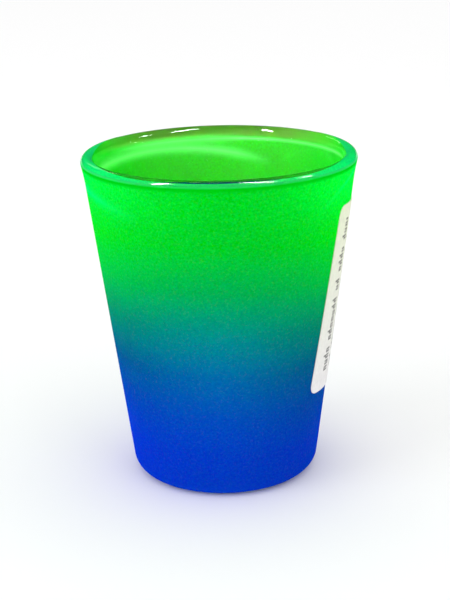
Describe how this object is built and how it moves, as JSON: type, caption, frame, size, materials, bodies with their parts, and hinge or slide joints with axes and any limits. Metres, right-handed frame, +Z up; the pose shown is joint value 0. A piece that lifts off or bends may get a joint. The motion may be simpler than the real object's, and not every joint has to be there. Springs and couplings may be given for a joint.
{
  "type": "shot glass",
  "caption": "Tapered shot glass with a thick foot and rounded rim, sprayed outside with matte lacquer fading from green to blue, with a paper label wrapped on one side.",
  "frame": {"origin": "centre of the foot, in the plane that the glass stands on", "axes": "+Z up along the glass's axis, -Y to the front, +X to the right, where the label is"},
  "size_m": [0.0492, 0.0492, 0.06],
  "materials": {
    "clear_glass": "clear, fire-polished",
    "green_lacquer": "matte translucent spray lacquer",
    "blue_lacquer": "matte translucent spray lacquer",
    "label_adhesive": "tacky clear film",
    "label_paper": "uncoated white label stock"
  },
  "bodies": {
    "root": {"glass_body": "clear_glass", "green_lacquer": "green_lacquer", "blue_lacquer": "blue_lacquer", "base_lacquer": "blue_lacquer", "label_adhesive": "label_adhesive", "label_paper": "label_paper"}
  },
  "joints": []
}
